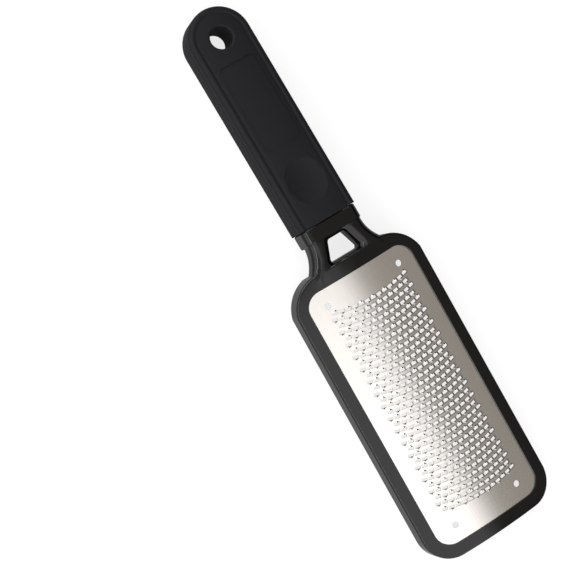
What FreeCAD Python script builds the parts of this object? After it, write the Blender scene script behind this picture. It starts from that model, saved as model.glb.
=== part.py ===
import FreeCAD, Part
import Sketcher
import math
import os

# Foot rasp: an etched steel plate held in a moulded head frame, whose yoke
# and tang carry a soft handle grip.
#
# The head is drawn level, with the crown of the plate at the origin, X across
# it, Y towards its far end and Z up. The handle is drawn in its own frame,
# from its mouth backwards, and set at its droop angle. At the end the whole
# rasp is laid down on its back edge and tail, as it rests on a table.

V = FreeCAD.Vector

doc = FreeCAD.newDocument("FootRasp")

# Driving dimensions, in millimetres and degrees.
SIZES = [
    ("crown_radius", 127.0, "radius of the plate's crown, across the head"),
    ("window_width", 55.1, "steel in view, across"),
    ("window_length", 128.7, "steel in view, along"),
    ("window_corner", 7.6, "corner radius of the steel in view"),
    ("side_band", 6.05, "frame beside the steel"),
    ("far_band", 6.25, "frame beyond the steel"),
    ("near_band", 7.2, "frame between the steel and the yoke"),
    ("head_corner", 13.4, "outer corner radius of the head"),
    ("frame_depth", 13.2, "underside of the frame below the crown"),
    ("lip_rise", 0.6, "frame's face above the steel"),
    ("edge_round", 1.3, "upper outer edge of the frame"),
    ("foot_round", 0.8, "lower outer edge of the frame"),
    ("plate_thickness", 0.5, "steel sheet"),
    ("rim_hold", 1.6, "rim of the plate inside the frame's groove"),
    ("seat_clearance", 0.05, "between the plate's rim and its groove"),
    ("opening_width", 2.4, "etched opening, along its row"),
    ("opening_length", 1.25, "etched opening, across its row"),
    ("web_width", 0.711, "steel between two openings of a row"),
    ("row_web", 1.9, "steel between two rows"),
    ("row_arc", 75.0, "radius that each row is bowed to"),
    ("row_margin", 13.9, "first and last row from the ends of the steel in view"),
    ("row_shift", 0.5, "field of rows towards the far end"),
    ("bow_offset", 2.25, "top of each row's bow from the plate's middle"),
    ("column_margin", 8.8, "outermost openings from the sides of the steel in view"),
    ("tooth_back", 0.8, "foot of a tooth behind its edge"),
    ("tooth_height", 0.7, "point of a tooth above the sheet"),
    ("peg_hole", 3.0, "diameter of the four holes in the plate's corners"),
    ("peg_inset", 7.6, "peg holes from the ends of the steel in view"),
    ("near_peg_span", 38.4, "between the two peg holes at the yoke"),
    ("far_peg_span", 34.6, "between the two peg holes at the far end"),
    ("throat_near", 8.4, "width of the yoke's window at the collar"),
    ("throat_far", 15.4, "width of the yoke's window at the head"),
    ("throat_gap", 0.4, "between the head and the yoke's window"),
    ("throat_shelf", 1.75, "crossbar between the collar and the yoke's window"),
    ("throat_corner", 1.3, "corner radius of the yoke's window"),
    ("yoke_length", 12.05, "from the head to the collar"),
    ("flare_radius", 17.8, "hollow sweep of the arms into the head"),
    ("arm_near_top", 1.1, "top of the arms at the collar, above the crown"),
    ("arm_far_top", 0.1, "top of the arms at the head, above the crown"),
    ("yoke_depth", 9.3, "underside of the yoke below the crown"),
    ("arm_round", 3.6, "upper edges of the arms"),
    ("arm_under_round", 2.0, "lower edges of the arms"),
    ("arm_inset", 0.3, "arms inside the collar's sides"),
    ("collar_length", 6.9, "gloss collar, along the handle"),
    ("collar_inset", 0.6, "collar's top and bottom inside the grip's"),
    ("collar_side_inset", 0.4, "collar's sides inside the grip's"),
    ("collar_corner", 3.8, "long edges of the collar"),
    ("collar_round", 0.8, "end edges of the collar"),
    ("mouth_rise", 2.2, "top of the grip at its mouth, above the crown"),
    ("droop", 5.1, "slope of the handle down from the head, in degrees"),
    ("grip_width", 29.2, "handle, across"),
    ("grip_thickness", 18.2, "handle, top to bottom"),
    ("grip_length", 105.4, "handle, from mouth to tail"),
    ("grip_crown", 70.0, "radius of the grip's upper face, across"),
    ("bead_round", 2.4, "raised bead round the grip's upper edge"),
    ("cove_width", 1.8, "hollow between the bead and the upper face"),
    ("cove_dip", 0.22, "depth of that hollow"),
    ("under_round", 3.0, "lower edge of the grip"),
    ("groove_drop", 6.3, "groove round the grip's side, below its top"),
    ("groove_width", 0.7, "groove, top to bottom"),
    ("groove_cut", 0.5, "groove, into the side"),
    ("hang_bore", 10.0, "hanging hole, diameter"),
    ("hang_round", 1.0, "rim of the hanging hole"),
    ("panel_width", 18.2, "sunk bare panel on the grip"),
    ("panel_start", 36.8, "panel, from the mouth"),
    ("panel_to_hole", 12.0, "far end of the panel to the middle of the hanging hole"),
    ("panel_sink", 0.4, "panel below the upper face"),
    ("panel_corner", 2.2, "corner radius of the panel"),
    ("thumb_place", 19.0, "middle of the thumb hollow, from the mouth"),
    ("thumb_reach", 10.2, "half-length of the thumb hollow"),
    ("thumb_sink", 1.6, "depth of the thumb hollow"),
    ("tang_width", 17.0, "tang inside the grip, across"),
    ("tang_thickness", 8.0, "tang inside the grip, top to bottom"),
    ("tang_to_hole", 18.8, "end of the tang to the middle of the hanging hole"),
    ("tang_clearance", 0.05, "between the grip and what it is moulded over"),
]
sheet = doc.addObject("Spreadsheet::Sheet", "Sizes")
for line, (alias, value, note) in enumerate(SIZES, 1):
    sheet.set(f"A{line}", alias)
    sheet.set(f"B{line}", str(value))
    sheet.setAlias(f"B{line}", alias)
    sheet.set(f"C{line}", note)
doc.recompute()


def size(formula):
    """Value of a formula in the sheet's names, each written with Sizes. before it."""
    value = sheet.evalExpression(formula)
    return float(getattr(value, "Value", value))


S = {alias: size("Sizes." + alias) for alias, _, _ in SIZES}


def crown_drop(x, radius):
    """How far an arc of this radius has fallen at x from its top."""
    return radius - math.sqrt(radius ** 2 - x ** 2)


# Ends of the head, the yoke's window and the collar along Y, and of the grip's parts from its mouth.
HALF_WINDOW = S["window_length"] / 2
FAR_EDGE = HALF_WINDOW + S["far_band"]
NEAR_EDGE = -(HALF_WINDOW + S["near_band"])
HALF_HEAD = S["window_width"] / 2 + S["side_band"]
COLLAR_FRONT = NEAR_EDGE - S["yoke_length"]
THROAT_FAR = NEAR_EDGE - S["throat_gap"]
THROAT_NEAR = COLLAR_FRONT + S["throat_shelf"]
MOUTH = COLLAR_FRONT - S["collar_length"]
COLLAR_HALF = S["grip_width"] / 2 - S["collar_side_inset"]
HOLE = S["grip_length"] - S["grip_width"] / 2

# The field of teeth: as many rows and places as the steel in view has room for.
TOOTH_PITCH = S["opening_width"] + S["web_width"]
ROW_PITCH = S["opening_length"] + S["row_web"]
TOOTH_ROWS = 1 + 2 * int((HALF_WINDOW - S["row_margin"]) / ROW_PITCH)
TEETH_IN_ROW = 1 + 2 * int((S["window_width"] / 2 - S["column_margin"]) / TOOTH_PITCH)


def new_body(name):
    return doc.addObject("PartDesign::Body", name)


def new_sketch(body, role, name, offset=None):
    """Sketch on one of the body's own origin planes, moved by offset if given."""
    sketch = body.newObject("Sketcher::SketchObject", name)
    plane = next(f for f in body.Origin.OriginFeatures if f.Role == role)
    sketch.AttachmentSupport = (plane, [""])
    sketch.MapMode = "FlatFace"
    if offset is not None:
        sketch.AttachmentOffset = offset
    return sketch


def line(a, b):
    return Part.LineSegment(V(a[0], a[1], 0), V(b[0], b[1], 0))


def arc(a, middle, b):
    return Part.Arc(V(a[0], a[1], 0), V(middle[0], middle[1], 0), V(b[0], b[1], 0))


def draw(sketch, pieces):
    """Add a closed chain of lines and arcs, each end tied to the next start."""
    first = sketch.GeometryCount
    for piece in pieces:
        sketch.addGeometry(piece, False)
    count = len(pieces)
    ends = [(piece.StartPoint, piece.EndPoint) for piece in pieces]
    for i in range(count):
        this, following = first + i, first + (i + 1) % count
        end = drawn_end(sketch, this, ends[i][1])
        start = drawn_end(sketch, following, ends[(i + 1) % count][0])
        sketch.addConstraint(Sketcher.Constraint("Coincident", this, end, following, start))
    return first


def drawn_end(sketch, index, point):
    """1 or 2: which end of the drawn piece lies at the point (an arc may be stored turned round)."""
    start = sketch.getPoint(index, 1)
    return 1 if start.distanceToPoint(V(point.x, point.y, 0)) < 1e-6 else 2


def bind(sketch, kind, where, formula):
    """Dimension of a sketch that follows the sheet."""
    number = sketch.addConstraint(Sketcher.Constraint(kind, *where, size(formula)))
    sketch.setExpression(f"Constraints[{number}]", formula)


def rounded_rectangle(sketch, left, right, low, high, radius):
    """Rounded rectangle round the sketch's origin: five formulas, all positive."""
    a, b, c, d, r = (size(f) for f in (left, right, low, high, radius))
    k = r * (1 - math.sqrt(0.5))
    first = draw(sketch, [
        line((-a + r, -c), (b - r, -c)),
        arc((b - r, -c), (b - k, -c + k), (b, -c + r)),
        line((b, -c + r), (b, d - r)),
        arc((b, d - r), (b - k, d - k), (b - r, d)),
        line((b - r, d), (-a + r, d)),
        arc((-a + r, d), (-a + k, d - k), (-a, d - r)),
        line((-a, d - r), (-a, -c + r)),
        arc((-a, -c + r), (-a + k, -c + k), (-a + r, -c)),
    ])
    for i, kind in ((0, "Horizontal"), (2, "Vertical"), (4, "Horizontal"), (6, "Vertical")):
        sketch.addConstraint(Sketcher.Constraint(kind, first + i))
    for i in (3, 5, 7):
        sketch.addConstraint(Sketcher.Constraint("Equal", first + 1, first + i))
    bind(sketch, "DistanceY", (first, 1, -1, 1), low)
    bind(sketch, "DistanceX", (-1, 1, first + 2, 1), right)
    bind(sketch, "DistanceY", (-1, 1, first + 4, 1), high)
    bind(sketch, "DistanceX", (first + 6, 1, -1, 1), left)
    bind(sketch, "Radius", (first + 1,), radius)


def pad(body, sketch, name, length, symmetric=True, reverse=False):
    feature = body.newObject("PartDesign::Pad", name)
    feature.Profile = sketch
    feature.SideType = "Symmetric" if symmetric else "One side"
    feature.Reversed = reverse
    feature.setExpression("Length", length)
    doc.recompute()
    return feature


def pocket(body, sketch, name, length):
    """Cut the sketch's area out on both sides of its plane, and check that it cut."""
    before = body.Shape.Volume
    feature = body.newObject("PartDesign::Pocket", name)
    feature.Profile = sketch
    feature.SideType = "Symmetric"
    feature.setExpression("Length", length)
    doc.recompute()
    if feature.Shape.Volume >= before - 1e-6:
        raise RuntimeError(name + " cuts nothing")
    return feature


def edges_where(shape, test):
    """Names of the edges whose middle point passes the test."""
    names = []
    for number, edge in enumerate(shape.Edges, 1):
        middle = edge.valueAt((edge.FirstParameter + edge.LastParameter) / 2)
        if test(middle, edge):
            names.append(f"Edge{number}")
    return names


def fillet(body, base, name, radius, test):
    feature = body.newObject("PartDesign::Fillet", name)
    feature.Base = (base, edges_where(base.Shape, test))
    feature.setExpression("Radius", radius)
    doc.recompute()
    return feature


def crown_corners(offset):
    """Corners of the crown's section, moved outwards by offset, from left to right.

    The crown is bent in narrow flat strips. Their edges run through the webs
    beside the openings of every second row.
    """
    count = TEETH_IN_ROW // 2
    webs = [(2 * i - count + 0.5) * TOOTH_PITCH + TOOTH_PITCH / 4 for i in range(count + 1)]
    inside = [S["crown_radius"] * math.sin(web / S["crown_radius"]) for web in webs]
    edge = S["window_width"] / 2 + S["rim_hold"] + 1
    grow = (S["crown_radius"] + offset) / S["crown_radius"]
    return [V(x * grow, 0, (S["crown_radius"] - crown_drop(x, S["crown_radius"])) * grow - S["crown_radius"])
            for x in [-edge] + [x for x in inside if abs(x) < edge - 2] + [edge]]


def sheet_height(x):
    """Height of the sheet's upper side at x."""
    corners = crown_corners(0)
    for left, right in zip(corners, corners[1:]):
        if x <= right.x:
            return left.z + (right.z - left.z) * (x - left.x) / (right.x - left.x)
    return corners[-1].z


def trim_to_plan(body, name, left, right, low, high, radius):
    """Cut away everything outside a rounded rectangle seen from above."""
    plan = new_sketch(body, "XY_Plane", name + "_plan")
    rounded_rectangle(plan, left, right, low, high, radius)
    far = 3 * S["window_length"]
    draw(plan, [
        line((-far, -far), (far, -far)),
        line((far, -far), (far, far)),
        line((far, far), (-far, far)),
        line((-far, far), (-far, -far)),
    ])
    return pocket(body, plan, name, "Sizes.frame_depth * 6")


def make_crowned_sheet(name, clearance):
    """Plate blank, or the seat that it fits when a clearance is given."""
    body = new_body(name)
    section = new_sketch(body, "XZ_Plane", name + "_section")
    gap = size(clearance)
    upper = crown_corners(gap)
    lower = crown_corners(-S["plate_thickness"] - gap)[::-1]
    outline = [(corner.x, corner.z) for corner in upper + lower]
    draw(section, [line(a, b) for a, b in zip(outline, outline[1:] + outline[:1])])
    reach = f"Sizes.rim_hold + {clearance}"
    pad(body, section, name + "_pad", f"Sizes.window_length + 2 * ({reach})")
    half_width = f"Sizes.window_width / 2 + {reach}"
    half_length = f"Sizes.window_length / 2 + {reach}"
    trim_to_plan(body, name + "_corners", half_width, half_width, half_length, half_length,
                 f"Sizes.window_corner + {reach}")
    return body


def make_ring():
    """Rounded frame round the steel: crowned face, level foot, open in the middle."""
    body = new_body("frame_ring")
    section = new_sketch(body, "XZ_Plane", "ring_section")
    b = HALF_HEAD + 2
    top = S["crown_radius"] + S["lip_rise"]
    z_side = -S["crown_radius"] + math.sqrt(top ** 2 - b ** 2)
    first = draw(section, [
        line((-b, -S["frame_depth"]), (b, -S["frame_depth"])),
        line((b, -S["frame_depth"]), (b, z_side)),
        arc((b, z_side), (0, S["lip_rise"]), (-b, z_side)),
        line((-b, z_side), (-b, -S["frame_depth"])),
    ])
    section.addConstraint(Sketcher.Constraint("Horizontal", first))
    section.addConstraint(Sketcher.Constraint("Vertical", first + 1))
    section.addConstraint(Sketcher.Constraint("Vertical", first + 3))
    section.addConstraint(Sketcher.Constraint("PointOnObject", first + 2, 3, -2))
    bind(section, "DistanceY", (first + 2, 3, -1, 1), "Sizes.crown_radius")
    bind(section, "Radius", (first + 2,), "Sizes.crown_radius + Sizes.lip_rise")
    bind(section, "DistanceY", (first, 1, -1, 1), "Sizes.frame_depth")
    bind(section, "DistanceX", (-1, 1, first, 2), "Sizes.window_width / 2 + Sizes.side_band + 2")
    pad(body, section, "ring_pad", "Sizes.window_length + 4 * Sizes.near_band")
    half = "Sizes.window_width / 2 + Sizes.side_band"
    near = "Sizes.window_length / 2 + Sizes.near_band"
    far = "Sizes.window_length / 2 + Sizes.far_band"
    trimmed = trim_to_plan(body, "ring_outline", half, half, near, far, "Sizes.head_corner")
    rounded = fillet(body, trimmed, "ring_edge", "Sizes.edge_round",
                     lambda p, e: p.z > -S["frame_depth"] / 2 and e.Length > 1 and not upright(e))
    fillet(body, rounded, "ring_foot", "Sizes.foot_round",
           lambda p, e: p.z < -S["frame_depth"] + 0.01)
    window = new_sketch(body, "XY_Plane", "ring_window")
    rounded_rectangle(window, "Sizes.window_width / 2", "Sizes.window_width / 2",
                      "Sizes.window_length / 2", "Sizes.window_length / 2", "Sizes.window_corner")
    pocket(body, window, "ring_window_cut", "Sizes.frame_depth * 6")
    return body


def upright(edge):
    """True for an edge that runs up the side of a piece."""
    a, b = edge.Vertexes[0].Point, edge.Vertexes[-1].Point
    return abs(a.z - b.z) > 2 and math.hypot(a.x - b.x, a.y - b.y) < 0.01


def make_yoke():
    """Two rounded arms that sweep from the collar out into the head, with a window between."""
    body = new_body("yoke")
    start = MOUTH + S["collar_length"] / 2
    end = NEAR_EDGE + S["near_band"] * 0.7
    narrow = COLLAR_HALF - S["arm_inset"]
    bend = COLLAR_FRONT
    centre = narrow + S["flare_radius"]
    reach = NEAR_EDGE + 1.0

    def sweep(y):
        return centre - math.sqrt(S["flare_radius"] ** 2 - (y - bend) ** 2)

    wide = sweep(reach)
    middle = (bend + reach) / 2
    plan = new_sketch(body, "XY_Plane", "yoke_plan")
    draw(plan, [
        line((-narrow, start), (narrow, start)),
        line((narrow, start), (narrow, bend)),
        arc((narrow, bend), (sweep(middle), middle), (wide, reach)),
        line((wide, reach), (wide, end)),
        line((wide, end), (-wide, end)),
        line((-wide, end), (-wide, reach)),
        arc((-wide, reach), (-sweep(middle), middle), (-narrow, bend)),
        line((-narrow, bend), (-narrow, start)),
    ])
    throat_outline(plan)
    top = size("Sizes.arm_near_top") + 1.0
    plan.AttachmentOffset = FreeCAD.Placement(V(0, 0, -S["yoke_depth"]), FreeCAD.Rotation())
    block = pad(body, plan, "yoke_pad", "Sizes.yoke_depth + Sizes.arm_near_top + 1", symmetric=False)
    slope = new_sketch(body, "YZ_Plane", "yoke_slope")
    near_z, far_z = S["arm_near_top"], S["arm_far_top"]
    fall = (near_z - far_z) / (NEAR_EDGE - bend)
    y0, y1 = start - 1, end + 1
    draw(slope, [
        line((y0, near_z - fall * (y0 - bend)), (y1, near_z - fall * (y1 - bend))),
        line((y1, near_z - fall * (y1 - bend)), (y1, top + 5)),
        line((y1, top + 5), (y0, top + 5)),
        line((y0, top + 5), (y0, near_z - fall * (y0 - bend))),
    ])
    sloped = pocket(body, slope, "yoke_slope_cut", "Sizes.grip_width * 4")
    upper = fillet(body, sloped, "arm_edges", "min(Sizes.arm_round; (Sizes.grip_width - Sizes.throat_near) * 0.19)",
                   lambda p, e: p.z > -S["yoke_depth"] / 4 and not upright(e)
                   and start + 0.1 < p.y < end - 0.1)
    fillet(body, upper, "arm_under_edges", "Sizes.arm_under_round",
           lambda p, e: p.z < -S["yoke_depth"] + 0.01 and start + 0.1 < p.y < end - 0.1)
    return body


def throat_outline(plan):
    """Four-sided window of the yoke, wider towards the head, with rounded corners."""
    a, b = S["throat_near"] / 2, S["throat_far"] / 2
    corners = [V(-a, THROAT_NEAR, 0), V(a, THROAT_NEAR, 0), V(b, THROAT_FAR, 0), V(-b, THROAT_FAR, 0)]
    pieces = []
    rounded = []
    for i, corner in enumerate(corners):
        before = (corners[i - 1] - corner).normalize()
        after = (corners[(i + 1) % 4] - corner).normalize()
        half = before.getAngle(after) / 2
        back = S["throat_corner"] / math.tan(half)
        inwards = (before + after).normalize()
        middle = corner + inwards * (S["throat_corner"] / math.sin(half) - S["throat_corner"])
        rounded.append((corner + before * back, middle, corner + after * back))
    for i, (begin, middle, finish) in enumerate(rounded):
        following = rounded[(i + 1) % 4][0]
        pieces.append(arc(begin, middle, finish))
        pieces.append(line(finish, following))
    draw(plan, pieces)


def handle_placement():
    """Where the handle's own frame sits on the head: its Y runs towards the head."""
    place = V(0, MOUTH, S["mouth_rise"])
    return FreeCAD.Placement(place, FreeCAD.Rotation(V(1, 0, 0), S["droop"]))


def make_collar():
    """Gloss collar between the yoke and the grip's mouth, drawn in the handle's frame."""
    body = new_body("collar")
    inset = "Sizes.collar_inset"
    centre = FreeCAD.Placement(V(0, -S["grip_thickness"] / 2, 0), FreeCAD.Rotation())
    section = new_sketch(body, "XZ_Plane", "collar_section", centre)
    half_height = f"Sizes.grip_thickness / 2 - {inset}"
    half_width = "Sizes.grip_width / 2 - Sizes.collar_side_inset"
    rounded_rectangle(section, half_width, half_width, half_height, half_height, "Sizes.collar_corner")
    block = pad(body, section, "collar_pad", "Sizes.collar_length", symmetric=False, reverse=True)
    fillet(body, block, "collar_edges", "Sizes.collar_round",
           lambda p, e: abs(p.y) < 0.01 or abs(p.y - S["collar_length"]) < 0.01)
    body.Placement = handle_placement()
    doc.recompute()
    return body


def make_tang(name, clearance):
    """Bar from the collar into the grip, or the space for it when a clearance is given."""
    bar = doc.addObject("Part::Box", name)
    length = "Sizes.grip_length - Sizes.grip_width / 2 - Sizes.tang_to_hole"
    bar.setExpression("Width", f"{length} + {clearance} + Sizes.collar_length / 2")
    bar.setExpression("Length", f"Sizes.tang_width + 2 * {clearance}")
    bar.setExpression("Height", f"Sizes.tang_thickness + 2 * {clearance}")
    doc.recompute()
    corner = V(-bar.Length.Value / 2, -size(length) - size(clearance),
               -S["grip_thickness"] / 2 - bar.Height.Value / 2)
    bar.Placement = FreeCAD.Placement(corner, FreeCAD.Rotation())
    return bar


def make_head_frame():
    """One moulding: ring, yoke, collar and tang, with the groove that holds the plate."""
    tang = make_tang("tang", "0")
    tang.Placement = handle_placement().multiply(tang.Placement)
    moulding = doc.addObject("Part::MultiFuse", "moulding")
    moulding.Shapes = [make_ring(), make_yoke(), make_collar(), tang]
    moulding.Refine = True
    frame = doc.addObject("Part::Cut", "head_frame")
    frame.Base = moulding
    frame.Tool = make_crowned_sheet("plate_seat", "Sizes.seat_clearance")
    frame.Label = "head_frame"
    doc.recompute()
    return frame


def tooth_places():
    """Place, turn and facing of every opening: x, y, angle, and True where its tooth faces the handle.

    Each row is bowed to one radius, with its top a little beside the head's
    middle. Alternate rows are shifted by half a pitch, and teeth face the two
    ways by turns.
    """
    for row in range(TOOTH_ROWS):
        middle = (row - (TOOTH_ROWS - 1) / 2) * ROW_PITCH + S["row_shift"]
        shift = TOOTH_PITCH / 4 * (1 if row % 2 == 0 else -1)
        for place in range(TEETH_IN_ROW):
            along = (place - (TEETH_IN_ROW - 1) / 2) * TOOTH_PITCH + shift
            beside = along - S["bow_offset"]
            x = -S["crown_radius"] * math.sin(along / S["crown_radius"])
            y = middle - crown_drop(beside, S["row_arc"])
            yield x, y, math.asin(beside / S["row_arc"]), (place + row) % 2 == 0


def opening_corners(x, y, turn, to_handle):
    """Corners of an opening seen from above, the first two at its tooth, and the tooth's heel."""
    across = V(math.cos(turn), math.sin(turn), 0) * (S["opening_width"] / 2)
    facing = V(math.sin(turn), -math.cos(turn), 0) * (1 if to_handle else -1)
    near = V(x, y, 0) + facing * (S["opening_length"] / 2)
    far = near - facing * S["opening_length"]
    heel = near + facing * S["tooth_back"]
    return near - across, near + across, far + across, far - across, heel


def flat_solid(outlines):
    """Solid from the flat outlines of its faces."""
    faces = [Part.Face(Part.makePolygon(list(outline) + [outline[0]])) for outline in outlines]
    solid = Part.Solid(Part.Shell(faces))
    if solid.Volume < 0:
        solid.reverse()
    return solid


def make_tooth(left, right, heel):
    """Point that stands on one edge of its opening, with two flanks that meet in a ridge behind it."""
    sink = S["plate_thickness"] * 0.4
    feet = [corner + V(0, 0, sheet_height(corner.x)) for corner in (left, right, heel)]
    roots = [foot - V(0, 0, sink) for foot in feet]
    middle = (left + right) * 0.5
    point = middle + V(0, 0, sheet_height(middle.x) + S["tooth_height"])
    return flat_solid([
        (roots[0], roots[1], feet[1], point, feet[0]),
        (feet[0], point, feet[2]),
        (feet[1], point, feet[2]),
        (feet[0], feet[2], roots[2], roots[0]),
        (feet[1], feet[2], roots[2], roots[1]),
        roots,
    ])


def make_rasp_plate(rest):
    """Crowned steel sheet with bowed rows of openings, each with one raised tooth, laid down at rest."""
    blank = make_crowned_sheet("plate_blank", "0")
    pegs = new_sketch(blank, "XY_Plane", "peg_holes")
    reach = "Sizes.window_length / 2 - Sizes.peg_inset"
    for side in (-1, 1):
        for end, span in ((-1, "near_peg_span"), (1, "far_peg_span")):
            middle = V(side * S[span] / 2, end * size(reach), 0)
            hole = pegs.addGeometry(Part.Circle(middle, V(0, 0, 1), S["peg_hole"] / 2), False)
            across = (-1, 1, hole, 3) if side > 0 else (hole, 3, -1, 1)
            along = (-1, 1, hole, 3) if end > 0 else (hole, 3, -1, 1)
            bind(pegs, "DistanceX", across, f"Sizes.{span} / 2")
            bind(pegs, "DistanceY", along, reach)
            bind(pegs, "Diameter", (hole,), "Sizes.peg_hole")
    pocket(blank, pegs, "peg_hole_cut", "Sizes.frame_depth * 2")
    cutters, points = [], []
    for place in tooth_places():
        corners = opening_corners(*place)
        floor = V(0, 0, -S["frame_depth"])
        outline = Part.makePolygon([corner + floor for corner in corners[:4] + corners[:1]])
        cutters.append(Part.Face(outline).extrude(floor * -2))
        points.append(make_tooth(corners[0], corners[1], corners[4]))
    openings = doc.addObject("Part::Feature", "openings")
    openings.Shape = Part.makeCompound(cutters)
    teeth = doc.addObject("Part::Feature", "teeth")
    teeth.Shape = Part.makeCompound(points)
    perforated = doc.addObject("Part::Cut", "perforated_sheet")
    perforated.Base = blank
    perforated.Tool = openings
    perforated.Refine = False
    plate = doc.addObject("Part::Fuse", "rasp_plate")
    plate.Base = perforated
    plate.Tool = teeth
    plate.Refine = True
    plate.Placement = rest
    plate.Label = "rasp_plate"
    doc.recompute()
    return plate


def grip_half_profile(side):
    """Right or left half of the grip's section, from the top centre round to the bottom centre.

    The upper face is a flat arc, then a shallow cove, a bead, the side with
    its groove, a rounded lower edge and a level bottom.
    """
    half = S["grip_width"] / 2
    bead = half - S["bead_round"]
    face = bead - S["cove_width"]
    drop = crown_drop(face, S["grip_crown"])
    slant = math.sqrt(0.5)
    groove_top = -S["groove_drop"] + S["groove_width"] / 2
    groove_low = -S["groove_drop"] - S["groove_width"] / 2
    inner = half - S["groove_cut"]
    bottom = -S["grip_thickness"]
    low = S["under_round"]
    bead_low = -drop - S["bead_round"]

    def at(x, z):
        return (side * x, z)

    return [
        arc(at(0, 0), at(face / 2, -crown_drop(face / 2, S["grip_crown"])), at(face, -drop)),
        arc(at(face, -drop), at((face + bead) / 2, -drop - S["cove_dip"]), at(bead, -drop)),
        arc(at(bead, -drop), at(bead + S["bead_round"] * slant, bead_low + S["bead_round"] * slant),
            at(half, bead_low)),
        line(at(half, bead_low), at(half, groove_top)),
        line(at(half, groove_top), at(inner, groove_top - S["groove_width"] / 5)),
        line(at(inner, groove_top - S["groove_width"] / 5), at(inner, groove_low + S["groove_width"] / 5)),
        line(at(inner, groove_low + S["groove_width"] / 5), at(half, groove_low)),
        line(at(half, groove_low), at(half, bottom + low)),
        arc(at(half, bottom + low), at(half - low + low * slant, bottom + low - low * slant),
            at(half - low, bottom)),
        line(at(half - low, bottom), at(0, bottom)),
    ]


def turned_round(piece):
    """The same line or arc, drawn from its other end."""
    if isinstance(piece, Part.LineSegment):
        return Part.LineSegment(piece.EndPoint, piece.StartPoint)
    middle = piece.value((piece.FirstParameter + piece.LastParameter) / 2)
    return Part.Arc(piece.EndPoint, middle, piece.StartPoint)


def make_grip_body():
    """Straight length of the grip and its round tail, both from one section."""
    body = new_body("grip_body")
    tail = "Sizes.grip_length - Sizes.grip_width / 2"
    section = new_sketch(body, "XZ_Plane", "grip_section")
    right = grip_half_profile(1)
    left = [turned_round(piece) for piece in reversed(grip_half_profile(-1))]
    draw(section, right + left)
    pad(body, section, "grip_pad", tail, symmetric=False)
    back = FreeCAD.Placement(V(0, 0, size(tail)), FreeCAD.Rotation())
    half = new_sketch(body, "XZ_Plane", "tail_section", back)
    draw(half, right + [line((0, -S["grip_thickness"]), (0, 0))])
    before = body.Shape.Volume
    turn = body.newObject("PartDesign::Revolution", "grip_tail")
    turn.Profile = half
    turn.ReferenceAxis = (half, ["V_Axis"])
    turn.Angle = 180
    turn.Reversed = True
    doc.recompute()
    expected = before * (S["grip_width"] / 2) / size(tail) * 0.6
    if turn.Shape.Volume < before + expected:
        turn.Reversed = False
        doc.recompute()
    bore = new_sketch(body, "XY_Plane", "hang_hole")
    hole = bore.addGeometry(Part.Circle(V(0, -size(tail), 0), V(0, 0, 1), S["hang_bore"] / 2), False)
    bore.addConstraint(Sketcher.Constraint("PointOnObject", hole, 3, -2))
    bind(bore, "DistanceY", (hole, 3, -1, 1), tail)
    bind(bore, "Diameter", (hole,), "Sizes.hang_bore")
    cut = pocket(body, bore, "hang_hole_cut", "Sizes.grip_thickness * 3")
    fillet(body, cut, "hang_hole_rims", "Sizes.hang_round",
           lambda p, e: abs(math.hypot(p.x, p.y + size(tail)) - S["hang_bore"] / 2) < 0.05
           and not upright(e))
    return body


def make_panel_cutter():
    """Space of the sunk panel: a rounded rectangle whose floor follows the upper face."""
    plan = new_body("panel_plan")
    middle = (S["panel_start"] + HOLE - S["panel_to_hole"]) / 2
    place = FreeCAD.Placement(V(0, -middle, 0), FreeCAD.Rotation())
    outline = new_sketch(plan, "XY_Plane", "panel_outline", place)
    end = "(Sizes.grip_length - Sizes.grip_width / 2 - Sizes.panel_to_hole)"
    half = f"({end} - Sizes.panel_start) / 2"
    rounded_rectangle(outline, "Sizes.panel_width / 2", "Sizes.panel_width / 2", half, half,
                      "Sizes.panel_corner")
    pad(plan, outline, "panel_pad", "Sizes.grip_thickness")
    floor = doc.addObject("Part::Cylinder", "panel_floor")
    floor.setExpression("Radius", "Sizes.grip_crown - Sizes.panel_sink")
    floor.setExpression("Height", "Sizes.grip_length")
    top = V(0, 0, -S["grip_crown"])
    floor.Placement = FreeCAD.Placement(top, FreeCAD.Rotation(V(1, 0, 0), 90))
    cutter = doc.addObject("Part::Cut", "panel_space")
    cutter.Base = plan
    cutter.Tool = floor
    return cutter


def make_thumb_cutter():
    """Ball whose cap is the thumb hollow."""
    ball = doc.addObject("Part::Sphere", "thumb_ball")
    ball.setExpression("Radius", "(Sizes.thumb_reach ^ 2 + Sizes.thumb_sink ^ 2) / (2 * Sizes.thumb_sink) * 1 mm")
    doc.recompute()
    lift = ball.Radius.Value - S["thumb_sink"]
    ball.Placement = FreeCAD.Placement(V(0, -S["thumb_place"], lift), FreeCAD.Rotation())
    return ball


def make_grip():
    """Soft grip moulded over the tang, with its hollow, panel and hanging hole."""
    spaces = doc.addObject("Part::MultiFuse", "grip_spaces")
    spaces.Shapes = [make_panel_cutter(), make_thumb_cutter()]
    hollowed = doc.addObject("Part::Cut", "grip_outside")
    hollowed.Base = make_grip_body()
    hollowed.Tool = spaces
    grip = doc.addObject("Part::Cut", "grip")
    grip.Base = hollowed
    grip.Tool = make_tang("tang_space", "Sizes.tang_clearance")
    grip.Label = "grip"
    doc.recompute()
    behind_collar = V(0, -S["tang_clearance"], 0)
    shift = FreeCAD.Placement(behind_collar, FreeCAD.Rotation())
    grip.Placement = handle_placement().multiply(shift)
    doc.recompute()
    return grip


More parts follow.
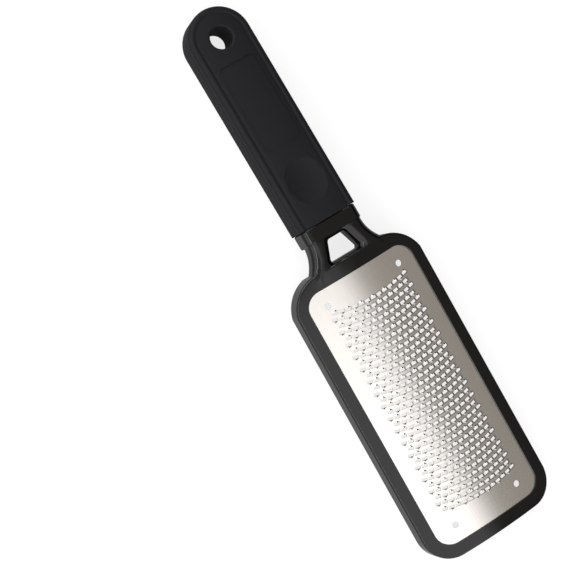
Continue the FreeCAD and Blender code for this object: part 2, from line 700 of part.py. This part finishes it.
def lay_down(pieces):
    """Turn and lift the frame and the grip alike, so that the rasp rests on its far edge and its tail.

    Seen from the side, the lower edges of both ends are arcs, and the table
    is the line that touches the two from below.
    """
    far = V(0, FAR_EDGE - S["foot_round"], S["foot_round"] - S["frame_depth"])
    tail = handle_placement().multVec(
        V(0, S["under_round"] - S["grip_length"] - S["tang_clearance"], S["under_round"] - S["grip_thickness"]))
    span = far - tail
    slope = math.atan2(span.z, span.y) - math.asin((S["foot_round"] - S["under_round"]) / span.Length)
    turn = FreeCAD.Rotation(V(1, 0, 0), -math.degrees(slope))
    lift = S["foot_round"] - turn.multVec(far).z
    reach = []
    for piece in pieces:
        shape = piece.Shape.copy()
        shape.transformShape(FreeCAD.Placement(V(0, 0, 0), turn).toMatrix())
        reach += [point.y for point in shape.tessellate(0.02)[0]]
    rest = FreeCAD.Placement(V(0, -(min(reach) + max(reach)) / 2, lift), turn)
    for piece in pieces:
        piece.Placement = rest.multiply(piece.Placement)
    doc.recompute()
    return rest


def check(pieces):
    for item in doc.Objects:
        if "Invalid" in item.State or "Error" in item.State:
            raise RuntimeError(f"{item.Label} did not compute")
    for piece in pieces:
        shape = piece.Shape
        if shape.isNull() or not shape.isValid() or len(shape.Solids) != 1:
            raise RuntimeError(f"{piece.Label} is not one sound solid")


frame = make_head_frame()
grip = make_grip()
rest = lay_down([frame, grip])
plate = make_rasp_plate(rest)
pieces = [frame, plate, grip]
check(pieces)
os.makedirs("parts", exist_ok=True)
for piece in pieces:
    piece.Shape.exportStep(f"parts/{piece.Label}.step")
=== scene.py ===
import math

import bpy
import numpy as np
from mathutils import Euler, Matrix


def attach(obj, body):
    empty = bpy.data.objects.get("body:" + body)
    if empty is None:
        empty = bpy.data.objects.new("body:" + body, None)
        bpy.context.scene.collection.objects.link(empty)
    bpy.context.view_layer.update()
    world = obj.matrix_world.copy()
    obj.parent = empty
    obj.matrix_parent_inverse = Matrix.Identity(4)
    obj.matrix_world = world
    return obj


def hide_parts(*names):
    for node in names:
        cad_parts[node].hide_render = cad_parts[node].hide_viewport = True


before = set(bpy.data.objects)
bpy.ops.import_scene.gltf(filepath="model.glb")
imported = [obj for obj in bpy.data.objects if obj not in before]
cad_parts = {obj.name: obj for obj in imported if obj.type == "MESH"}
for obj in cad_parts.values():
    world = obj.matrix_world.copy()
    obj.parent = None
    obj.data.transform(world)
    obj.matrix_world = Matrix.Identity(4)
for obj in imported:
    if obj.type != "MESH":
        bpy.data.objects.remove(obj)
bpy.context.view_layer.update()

# Rasp plate. Stainless steel sheet with bowed and staggered rows of openings
# etched through it and a sharp point raised on one edge of each, bent to a
# crown and laid into the frame's seat. Sizes are in millimetres.
crown_radius, thick = 127.0, 0.5
half_width, half_length, corner = 28.95, 65.75, 8.9
margins = np.array([24.5, 27.2, half_width - 0.3])  # plain columns beside the openings
rows, row_pitch, row_shift = 33, 3.15, 0.5
places, pitch = 13, 3.111
bow_radius, bow_beside = 75.0, 2.25
open_wide, open_tall = 1.25, 0.7  # half sizes of an opening
side_web, last_web = 0.4, 1.2  # from the openings' sides, and from the last row's middle
# A point's half width and depth, and its edge's place from the opening's middle.
tooth_wide, tooth_back, tooth_foot = 1.2, 0.86, 0.69
# Its even rise, what the tip adds, how far the ridge starts lower, and its rings.
tooth_rise, tooth_tip, ridge_dip, tooth_steps = 0.5, 0.14, 0.02, 6
hole_y, hole_radius, hole_block, hole_steps = 56.75, 1.5, 1.7, 32
near_hole_x, far_hole_x = 19.2, 17.3
# Plain columns between the holes, and the least step past the rows' border.
end_reach, end_columns, border_gap = 14.0, 15, 0.05

row_middles = (np.arange(rows) - rows // 2) * row_pitch + row_shift
staggers = pitch / 4 * (1 - 2 * (np.arange(rows) % 2))
place_middles = (np.arange(places) - places // 2) * pitch

# The rasp lies at a slight tilt. In the head's own frame the crown's top is the
# origin, X runs across and Y towards the far end.
head = Matrix.Translation((0, 0.0625152, 0.0163530)) @ Matrix.Rotation(math.radians(-2.5994915), 4, "X")

plate_points = []
plate_faces = {"sheet": [], "point": [], "wall": []}


def numbered(points):
    """Keep an array of points for the plate and return their numbers, in the same shape."""
    first = sum(len(part) for part in plate_points)
    plate_points.append(points.reshape(-1, 3))
    return first + np.arange(len(plate_points[-1])).reshape(points.shape[:-1])


def quads(numbers):
    """Faces between neighbours along the last two axes of an array of point numbers."""
    return np.stack([numbers[..., :-1, :-1], numbers[..., :-1, 1:],
                     numbers[..., 1:, 1:], numbers[..., 1:, :-1]], axis=-1)


def on_crown(s, row, e, square, lift=0.0):
    """Points of places on the bent sheet; each value may be an array.

    A place is s along the crown's arc and e from a row's bowed line, towards
    the far end or, where square is true, at a right angle to that line. With R
    the crown's radius, A the bow's and b the bow's middle, the line falls by
    A (1 - cos t), where sin t = (s - b) / A, and the point is
        x = -(R + lift) sin(s / R), y = row - fall + e, z = (R + lift) cos(s / R) - R
    """
    t = np.arcsin((s - bow_beside) / bow_radius)
    y = row - bow_radius * (1 - np.cos(t)) + e * np.where(square, np.cos(t), 1)
    arc = (s + e * np.where(square, np.sin(t), 0)) / crown_radius
    reach = crown_radius + lift
    return np.stack(np.broadcast_arrays(-reach * np.sin(arc), y, reach * np.cos(arc) - crown_radius), axis=-1)


def rowed_sheet():
    """Both faces of the sheet between the ends and the walls of its openings; returns the rims' points.

    Columns are the openings' sides in both staggers, with plain margins.
    Levels are three to a row, the web's middle and the opening's two edges.
    """
    beside = np.add.outer([-pitch / 4, pitch / 4], [-open_wide, open_wide])
    sides = np.unique(np.round(np.add.outer(place_middles, beside), 6))
    columns = np.concatenate([-margins[::-1], [sides[0] - side_web], sides, [sides[-1] + side_web], margins])
    middle = np.append(np.repeat(row_middles, 3), row_middles[-1])[:, None]
    e = np.append(np.tile([-row_pitch / 2, -open_tall, open_tall], rows), last_web)[:, None]
    e[0] = -last_web
    edge = np.append(np.tile([False, True, True], rows), False)[:, None]
    square = edge & (np.abs(columns) < margins[0])
    numbers = numbered(np.stack([on_crown(columns, middle, e, square, lift) for lift in (0.0, -thick)]))

    cell = (columns[:-1] + columns[1:]) / 2 - staggers[:, None]
    k = np.round(cell / pitch)
    is_open = np.zeros((len(e) - 1, len(columns) - 1), bool)
    is_open[1::3] = (np.abs(k) <= places // 2) & (np.abs(cell - k * pitch) < open_wide)
    top, under = quads(numbers)
    plate_faces["sheet"] += [top[~is_open][:, [1, 0, 3, 2]], under[~is_open]]
    ringed = np.pad(is_open, 1)
    for beyond, (p, q) in ((ringed[1:-1, :-2], (0, 3)), (ringed[1:-1, 2:], (2, 1)),
                           (ringed[:-2, 1:-1], (1, 0)), (ringed[2:, 1:-1], (3, 2))):
        upper, lower = top[beyond & ~is_open], under[beyond & ~is_open]
        plate_faces["wall"].append(np.stack([upper[:, p], upper[:, q], lower[:, q], lower[:, p]], axis=-1))
    return top[is_open]


def plain_end(end):
    """Sheet beyond the rows, with round corners and two peg holes; end is 1 for far and -1 for near.

    Five lines run across it: the rows' border, the two that bound the holes'
    cells, one half way, and the outline L - c + sqrt(c^2 - over^2), with over
    the part of x that lies in the corner. Each hole's cell is a ring of faces
    from a circle to a square.
    """
    hole_x = far_hole_x if end > 0 else near_hole_x
    cell = np.array([-hole_block, hole_block])
    between = np.linspace(-end_reach, end_reach, end_columns)
    x = np.unique(np.concatenate([-margins, margins, cell - hole_x, cell + hole_x, between]))

    def both_sides(x, y):
        """Points at x and y on the sheet's two faces, z = g sqrt(R^2 - x^2) - R, with g = 1 on top."""
        drop = np.sqrt(crown_radius ** 2 - x ** 2)
        return np.stack([np.stack(np.broadcast_arrays(x * g, y, drop * g - crown_radius), axis=-1)
                         for g in (1, 1 - thick / crown_radius)])

    s = crown_radius * np.arcsin(-x / crown_radius)
    last_row = row_middles[-1 if end > 0 else 0]
    border = end * on_crown(s, last_row, end * last_web, False)[:, 1]
    over = np.maximum(np.abs(x) - (half_width - corner), 0)
    outline = half_length - corner + np.sqrt(np.maximum(corner ** 2 - over ** 2, 0))
    inner = np.maximum(hole_y - hole_block, border + border_gap)
    outer = np.full_like(x, hole_y + hole_block)
    numbers = numbered(both_sides(x, end * np.stack([border, inner, outer, (outer + outline) / 2, outline])))
    keep = np.ones((4, len(x) - 1), bool)
    keep[1] = np.abs(np.abs(x[:-1] + x[1:]) / 2 - hole_x) >= hole_block
    top, under = quads(numbers)
    plate_faces["sheet"] += [top[keep][:, ::end], under[keep][:, ::-end]]

    angle = np.arange(hole_steps) * 2 * np.pi / hole_steps
    c, d = np.cos(angle), np.sin(angle)
    reach = np.stack([np.full_like(c, hole_radius), hole_block / np.maximum(np.abs(c), np.abs(d))])
    for side in (-1, 1):
        numbers = numbered(both_sides(side * hole_x + reach * c, end * hole_y + reach * d))
        numbers = numbers[..., np.arange(hole_steps + 1) % hole_steps]
        top, under = quads(np.swapaxes(numbers, 1, 2))
        plate_faces["sheet"] += [top, under[..., ::-1], quads(numbers[:, 0])]


def raised_points():
    """Three-sided points, one to an opening, on its far and its near edge by turns.

    From foot to tip t goes from 0 to 1. The half width is w (1 - t)^1.05, the
    ridge lies b (1 - t)^1.1 behind the edge, and the height is h t + p t^5, so
    that the flanks curve inwards from a broad foot to a fine point.
    """
    t = np.linspace(0, 1, tooth_steps + 1)
    spread, ridge = tooth_wide * (1 - t) ** 1.05, tooth_back * (1 - t) ** 1.1
    rise = tooth_rise * t + tooth_tip * t ** 5
    beside = np.stack([-spread, 0 * t, spread], axis=-1)
    behind = np.stack([0 * t, ridge, 0 * t], axis=-1) + tooth_foot
    lift = np.stack([rise, rise - ridge_dip * (1 - t), rise], axis=-1)
    row, place = np.indices((rows, places))
    far = (row + place) % 2 == 1
    s = (place_middles[place] + staggers[row])[..., None, None]
    way = np.where(far, 1, -1)[..., None, None]
    numbers = numbered(on_crown(s + beside, row_middles[row][..., None, None], way * behind, True, lift))
    cells = quads(numbers[..., [0, 1, 2, 0]])
    plate_faces["point"] += [cells[far], cells[~far][..., [1, 0, 3, 2]]]


def placed(points, place):
    """World points in metres from points in millimetres in the frame of a matrix."""
    turn = np.array(place)
    return points / 1000 @ turn[:3, :3].T + turn[:3, 3]


def new_mesh(name, points, faces, smooth=True):
    """Object from an array of points in metres and an array of faces as point numbers."""
    mesh = bpy.data.meshes.new(name)
    mesh.from_pydata(points.tolist(), [], faces.tolist())
    mesh.polygons.foreach_set("use_smooth", [smooth] * len(mesh.polygons))
    mesh.update()
    piece = bpy.data.objects.new(name, mesh)
    bpy.context.scene.collection.objects.link(piece)
    return piece


def add(tree, kind, settings=(), links=()):
    """Add a node, set its settings and sockets, and link {socket: output} into it."""
    node = tree.nodes.new(kind)
    for key, value in dict(settings).items():
        if isinstance(key, int) or key in node.inputs:
            node.inputs[key].default_value = value
        else:
            setattr(node, key, value)
    for key, output in dict(links).items():
        tree.links.new(output, node.inputs[key])
    return node


def smooth_over(piece, angle):
    """Merge a mesh's doubles and shade it smooth where faces meet below an angle, as modifiers."""
    tree = bpy.data.node_groups.new(piece.name + "_smooth", "GeometryNodeTree")
    tree.interface.new_socket("Geometry", in_out="INPUT", socket_type="NodeSocketGeometry")
    tree.interface.new_socket("Geometry", in_out="OUTPUT", socket_type="NodeSocketGeometry")
    start = add(tree, "NodeGroupInput")
    joined = add(tree, "GeometryNodeMergeByDistance", {"Distance": 2e-6}, {"Geometry": start.outputs[0]})
    rounded = add(tree, "GeometryNodeSetShadeSmooth", {"domain": "FACE", "Shade Smooth": True},
                  {"Geometry": joined.outputs[0]})
    bend = add(tree, "GeometryNodeInputMeshEdgeAngle")
    sharp = add(tree, "FunctionNodeCompare", {"data_type": "FLOAT", "operation": "GREATER_THAN", 1: angle},
                {0: bend.outputs[0]})
    blunt = add(tree, "FunctionNodeBooleanMath", {"operation": "NOT"}, {0: sharp.outputs[0]})
    creased = add(tree, "GeometryNodeSetShadeSmooth", {"domain": "EDGE"},
                  {"Geometry": rounded.outputs[0], "Shade Smooth": blunt.outputs[0]})
    add(tree, "NodeGroupOutput", {}, {0: creased.outputs[0]})
    piece.modifiers.new("smooth", "NODES").node_group = tree
    piece.modifiers.new("even", "WEIGHTED_NORMAL").keep_sharp = True
    return piece


rims = rowed_sheet()
plain_end(-1)
plain_end(1)
raised_points()
skins = [np.concatenate([part.reshape(-1, 4) for part in kind]) for kind in plate_faces.values()]
plate = new_mesh("etched_plate", placed(np.concatenate(plate_points), head), np.concatenate(skins))
kinds = np.repeat(np.arange(3, dtype=np.int32), [len(skin) for skin in skins])
plate.data.polygons.foreach_set("material_index", kinds)
near_opening = np.zeros(len(plate.data.vertices), dtype=np.float32)
near_opening[rims] = 1
plate.data.attributes.new("rim", "FLOAT", "POINT").data.foreach_set("value", near_opening)
smooth_over(plate, math.radians(25))
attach(plate, "root")
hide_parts("rasp_plate")


def linear(code):
    """Linear red, green, blue and 1 from a hex colour in sRGB."""
    values = [int(code[i:i + 2], 16) / 255 for i in (1, 3, 5)]
    return tuple(v / 12.92 if v <= 0.04045 else ((v + 0.055) / 1.055) ** 2.4 for v in values) + (1.0,)


def new_material(name):
    """Material with an empty node tree, its tree and its output node."""
    material = bpy.data.materials.new(name)
    material.use_nodes = True
    material.node_tree.nodes.clear()
    return material, material.node_tree, material.node_tree.nodes.new("ShaderNodeOutputMaterial")


# Etched stainless steel, with a faint grain along the head that blurs what it
# mirrors. Round the openings shade is painted in: the steel is darker there,
# least so on the lit side, from dark_side to bright_side across, which are in
# metres like the Object coordinates.
grain_width, grain_length = 1.111, 11.11
plain_tone, rim_shade_tone = "#dcd8d3", "#97928b"
rim_sharpness, dark_side, bright_side, least_rim_shade = 2.6, -0.002, 0.016, 0.12
material, tree, out = new_material("etched_steel_painted_shade")
place = add(tree, "ShaderNodeTexCoord")
scale = (1000 / grain_width, 1000 / grain_length, 1000 / grain_width)
stretched = add(tree, "ShaderNodeMapping", {"vector_type": "POINT", "Scale": scale},
                {"Vector": place.outputs["Object"]})
grain = add(tree, "ShaderNodeTexNoise", {"Scale": 1.0, "Detail": 3.0}, {"Vector": stretched.outputs[0]})
rough = add(tree, "ShaderNodeMapRange", {"From Min": 0.3, "From Max": 0.7, "To Min": 0.21, "To Max": 0.25},
            {"Value": grain.outputs[0]})
# Painted shade round the openings: the rim mask, sharpened, with less of it towards the lit side.
rim = add(tree, "ShaderNodeAttribute", {"attribute_name": "rim"})
rim_shade = add(tree, "ShaderNodeMath", {"operation": "POWER", 1: rim_sharpness}, {0: rim.outputs["Fac"]})
where = add(tree, "ShaderNodeSeparateXYZ", {}, {0: place.outputs["Object"]})
share = add(tree, "ShaderNodeMapRange",
            {"interpolation_type": "SMOOTHSTEP", "From Min": dark_side, "From Max": bright_side,
             "To Min": 1.0, "To Max": least_rim_shade}, {"Value": where.outputs[0]})
painted_rim_shade = add(tree, "ShaderNodeMath", {"operation": "MULTIPLY"}, {0: rim_shade.outputs[0], 1: share.outputs[0]})
tone = add(tree, "ShaderNodeMix", {"data_type": "RGBA", 6: linear(plain_tone), 7: linear(rim_shade_tone)},
           {"Factor": painted_rim_shade.outputs[0]})
steel = add(tree, "ShaderNodeBsdfPrincipled", {"Metallic": 1.0},
            {"Base Color": tone.outputs[2], "Roughness": rough.outputs[0]})
tree.links.new(steel.outputs[0], out.inputs[0])
plate.data.materials.append(material)

# The steel of the raised points mirrors sharply and is tinted darker than the
# sheet's, as painted shade on them; that of the openings' walls is dark and matte,
# as painted shade in the openings. Both vary a little, in spots whose size is in millimetres.
for name, colour, spot, least, most in (("tooth_steel", "#b9b5af", 1.43, 0.11, 0.15),
                                        ("painted_shade_wall", "#4a4744", 0.833, 0.4, 0.6)):
    material, tree, out = new_material(name)
    place = add(tree, "ShaderNodeTexCoord")
    bite = add(tree, "ShaderNodeTexNoise", {"Scale": 1000 / spot, "Detail": 2.0},
               {"Vector": place.outputs["Object"]})
    rough = add(tree, "ShaderNodeMapRange",
                {"From Min": 0.3, "From Max": 0.7, "To Min": least, "To Max": most}, {"Value": bite.outputs[0]})
    steel = add(tree, "ShaderNodeBsdfPrincipled", {"Base Color": linear(colour), "Metallic": 1.0},
                {"Roughness": rough.outputs[0]})
    tree.links.new(steel.outputs[0], out.inputs[0])
    plate.data.materials.append(material)


# Head frame. One moulding of hard black plastic: the rounded frame round the
# plate, the two arms of the yoke and the collar at the grip. Sizes are in
# millimetres, and the face follows the plate's crown.
frame_half_width, frame_near_end = 33.6, 71.55
moulded_corner, round_corner = 13.4, 17.6
face_radius, face_bottom = 127.6, -6.0
whole_move, no_move = 3.0, 5.0


def copy_of(node, name, place, change):
    """Merged copy of a solid's mesh, its points changed in the frame of place, in millimetres."""
    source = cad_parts[node]
    points = np.empty(3 * len(source.data.vertices))
    source.data.vertices.foreach_get("co", points)
    corners = np.empty(len(source.data.loops), dtype=np.int32)
    source.data.loops.foreach_get("vertex_index", corners)
    turn = np.array(place.inverted() @ source.matrix_world)
    points = 1000 * (points.reshape(-1, 3) @ turn[:3, :3].T + turn[:3, 3])
    _, first, merged = np.unique(np.round(points, 4), axis=0, return_index=True, return_inverse=True)
    faces = merged.ravel()[corners].reshape(-1, 3)
    faces = faces[(faces != np.roll(faces, 1, axis=1)).all(axis=1)]
    return new_mesh(name, placed(change(points[first]), place), faces)


def round_near_corners(points):
    """Widen the outline's two corners at the yoke.

    A point's depth under the old outline is kept under the new one, where it
    is whole_move or less. Deeper points move less, and from no_move on they
    stay. The face keeps its crown, z = -x^2 / 2R.
    """
    x, y = np.abs(points[:, 0]), -points[:, 1]
    old_x, old_y = frame_half_width - moulded_corner, frame_near_end - moulded_corner
    new_x, new_y = frame_half_width - round_corner, frame_near_end - round_corner
    depth = moulded_corner - np.hypot(np.maximum(x - old_x, 0), np.maximum(y - old_y, 0))
    inside = (x > new_x) & (y > new_y)
    reach = np.maximum(np.hypot(x - new_x, y - new_y), 0.001)
    pull = np.where(inside, np.clip((round_corner - depth) / reach, 0, 1), 1)
    scale = 1 + (pull - 1) * np.clip((no_move - depth) / (no_move - whole_move), 0, 1)
    moved_x = np.where(inside, new_x + (x - new_x) * scale, x)
    moved_y = np.where(inside, new_y + (y - new_y) * scale, y)
    lift = np.where(points[:, 2] > face_bottom, (x ** 2 - moved_x ** 2) / (2 * face_radius), 0)
    return np.stack([np.sign(points[:, 0]) * moved_x, -moved_y, points[:, 2] + lift], axis=-1)


moulding = smooth_over(copy_of("head_frame", "gloss_frame", head, round_near_corners), math.radians(32))
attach(moulding, "root")
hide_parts("head_frame")

# Gloss black ABS from a polished mould: sharp reflections on near black, with a
# faint unevenness some 11 mm across.
haze_size = 11.11
material, tree, out = new_material("gloss_black")
place = add(tree, "ShaderNodeTexCoord")
haze = add(tree, "ShaderNodeTexNoise", {"Scale": 1000 / haze_size, "Detail": 3.0},
           {"Vector": place.outputs["Object"]})
rough = add(tree, "ShaderNodeMapRange", {"From Min": 0.3, "From Max": 0.7, "To Min": 0.09, "To Max": 0.12},
            {"Value": haze.outputs[0]})
gloss = add(tree, "ShaderNodeBsdfPrincipled", {"Base Color": linear("#080808"), "IOR": 1.42},
            {"Roughness": rough.outputs[0]})
tree.links.new(gloss.outputs[0], out.inputs[0])
moulding.data.materials.append(material)


# Grip. A soft black moulding over the tang, with a bare sunk panel, a thumb
# hollow and a hanging hole. Sizes are in millimetres, in a frame that starts at
# the top of the grip's mouth and falls towards its tail.
handle = head @ Matrix.Translation((0, -0.0905, 0.0022)) @ Matrix.Rotation(math.radians(5.1), 4, "X")
hollow_y, hollow_floor, grip_crown = -19.0, -3.5, 70.0
moulded_reach, moulded_depth = 10.2, 1.6
thumb_reach, thumb_depth = 11.3, 1.9


def widen_thumb_hollow(points):
    """Scale the hollow about its middle and its depth under the crown, z = -x^2 / 2R."""
    x, y, z = points[:, 0], points[:, 1] - hollow_y, points[:, 2]
    hollow = (np.hypot(x, y) < moulded_reach + 0.15) & (z > hollow_floor)
    wider = np.where(hollow, thumb_reach / moulded_reach, 1)
    depth = (-x ** 2 / (2 * grip_crown) - z) * thumb_depth / moulded_depth
    sunk = np.where(hollow, -(x * wider) ** 2 / (2 * grip_crown) - depth, z)
    return np.stack([x * wider, y * wider + hollow_y, sunk], axis=-1)


grip = smooth_over(copy_of("grip", "soft_grip", handle, widen_thumb_hollow), math.radians(32))
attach(grip, "root")
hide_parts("grip")

# Thermoplastic rubber, moulded off-black and matte. Its pores are drawn some
# 0.4 mm wide, coarser than real ones, so that they show at all.
pore = 0.385
material, tree, out = new_material("soft_black")
place = add(tree, "ShaderNodeTexCoord")
pores = add(tree, "ShaderNodeTexNoise", {"Scale": 1000 / pore, "Detail": 2.0},
            {"Vector": place.outputs["Object"]})
bump = add(tree, "ShaderNodeBump", {"Strength": 0.12, "Distance": 0.0001}, {"Height": pores.outputs[0]})
soft = add(tree, "ShaderNodeBsdfPrincipled", {"Base Color": linear("#17181b"), "Roughness": 0.6, "IOR": 1.25},
           {"Normal": bump.outputs[0]})
tree.links.new(soft.outputs[0], out.inputs[0])
grip.data.materials.append(material)


# White table that the rasp lies on. Seen from the camera it is white with the
# rasp's shadow; on the gloss it shows a fifth of that; elsewhere it is grey.
table_reach, mirrored = 6.0, 0.2
grey, shadowed, own_white = 0.3, 0.26, 0.79
corners = table_reach * np.array([(-1, -1, 0), (1, -1, 0), (1, 1, 0), (-1, 1, 0)])
table = new_mesh("table", corners, np.array([[0, 1, 2, 3]]), smooth=False)
material, tree, out = new_material("white_table")
rays = add(tree, "ShaderNodeLightPath")
seen = add(tree, "ShaderNodeMath", {"operation": "MULTIPLY_ADD", 1: mirrored},
           {0: rays.outputs["Is Glossy Ray"], 2: rays.outputs["Is Camera Ray"]})
plain = add(tree, "ShaderNodeBsdfDiffuse", {"Color": (grey, grey, grey, 1)})
shaded = add(tree, "ShaderNodeBsdfDiffuse", {"Color": (shadowed, shadowed, shadowed, 1)})
white = add(tree, "ShaderNodeEmission", {"Color": (1, 1, 1, 1), "Strength": own_white})
both = add(tree, "ShaderNodeAddShader", {}, {0: shaded.outputs[0], 1: white.outputs[0]})
shown = add(tree, "ShaderNodeMixShader", {}, {0: seen.outputs[0], 1: plain.outputs[0], 2: both.outputs[0]})
tree.links.new(shown.outputs[0], out.inputs[0])
table.data.materials.append(material)


# Light. A bright ceiling, dimmer over the handle, a warm grey wall on one side
# that darkens downwards, and two narrow bright strips, at the side and behind,
# that draw the gloss edges. Places are coordinates of the unit direction.
ceiling_light, wall_light, strip_light = (1.75, 1.75, 1.75, 1), (0.36, 0.34, 0.31), (12.0, 12.0, 12.0, 1)
world = bpy.data.worlds.new("studio")
bpy.context.scene.world = world
world.use_nodes = True
tree = world.node_tree
tree.nodes.clear()
out = tree.nodes.new("ShaderNodeOutputWorld")
place = add(tree, "ShaderNodeTexCoord")
across, along, up = add(tree, "ShaderNodeSeparateXYZ", {}, {0: place.outputs["Generated"]}).outputs


def patch(*edges, within=None):
    """Soft-edged patch of the surroundings, as the product of a smooth step for each edge.

    An edge is a coordinate, the value where its step starts, the one where it
    ends, and what it goes from and to, which is 0 and 1 if left out.
    """
    light = within
    for source, start, end, *change in edges:
        least, most = change or (0.0, 1.0)
        step = add(tree, "ShaderNodeMapRange",
                   {"interpolation_type": "SMOOTHSTEP", "From Min": start, "From Max": end,
                    "To Min": least, "To Max": most}, {"Value": source}).outputs[0]
        light = step if light is None else add(tree, "ShaderNodeMath", {"operation": "MULTIPLY"},
                                               {0: light, 1: step}).outputs[0]
    return light


off_handle = add(tree, "ShaderNodeMath", {"operation": "MAXIMUM"},
                 {0: patch((along, 0.09, 0.21, 0.25, 1.0)), 1: patch((up, 0.86, 0.6))}).outputs[0]
ceiling = patch((across, -0.34, -0.12), within=off_handle)
wall = add(tree, "ShaderNodeVectorMath", {"operation": "SCALE", 0: wall_light},
           {"Scale": patch((up, 0.42, 0.66, 0.05, 1.0))})
side_strip = patch((across, 0.645, 0.66), (across, 0.695, 0.68), (along, 0.45, 0.35), (along, -0.5, -0.4))
back_strip = patch((along, -0.85, -0.835), (along, -0.80, -0.815), (across, -0.5, -0.4), (up, 0.1, 0.2))
strips = add(tree, "ShaderNodeMath", {"operation": "MAXIMUM"}, {0: side_strip, 1: back_strip})
room = add(tree, "ShaderNodeMix", {"data_type": "RGBA", 7: ceiling_light},
           {"Factor": ceiling, 6: wall.outputs[0]})
lit = add(tree, "ShaderNodeMix", {"data_type": "RGBA", 7: strip_light},
          {"Factor": strips.outputs[0], 6: room.outputs[2]})
surround = add(tree, "ShaderNodeBackground", {"Strength": 1.0}, {"Color": lit.outputs[2]})
tree.links.new(surround.outputs[0], out.inputs[0])


# Camera, above the grip's mouth and to one side, 0.77 m from the rasp. Its
# focal length is in pixels, its turns about X, Y and Z are in degrees, and the
# picture's middle is half a pixel off.
picture, focal = 580, 1702.49
standpoint, turned = (0.22191, -0.06219, 0.73054), (4.160, -15.054, 148.776)
camera = bpy.data.objects.new("camera", bpy.data.cameras.new("camera"))
bpy.context.scene.collection.objects.link(camera)
bpy.context.scene.camera = camera
camera.matrix_world = (Matrix.Translation(standpoint)
                       @ Euler([math.radians(angle) for angle in turned]).to_matrix().to_4x4())
camera.data.sensor_width = 36.0
camera.data.lens = camera.data.sensor_width * focal / picture
camera.data.shift_x, camera.data.shift_y = -0.5 / picture, 0.5 / picture

scene = bpy.context.scene
scene.view_settings.view_transform = "Standard"
scene.render.resolution_x = picture
scene.render.resolution_y = picture
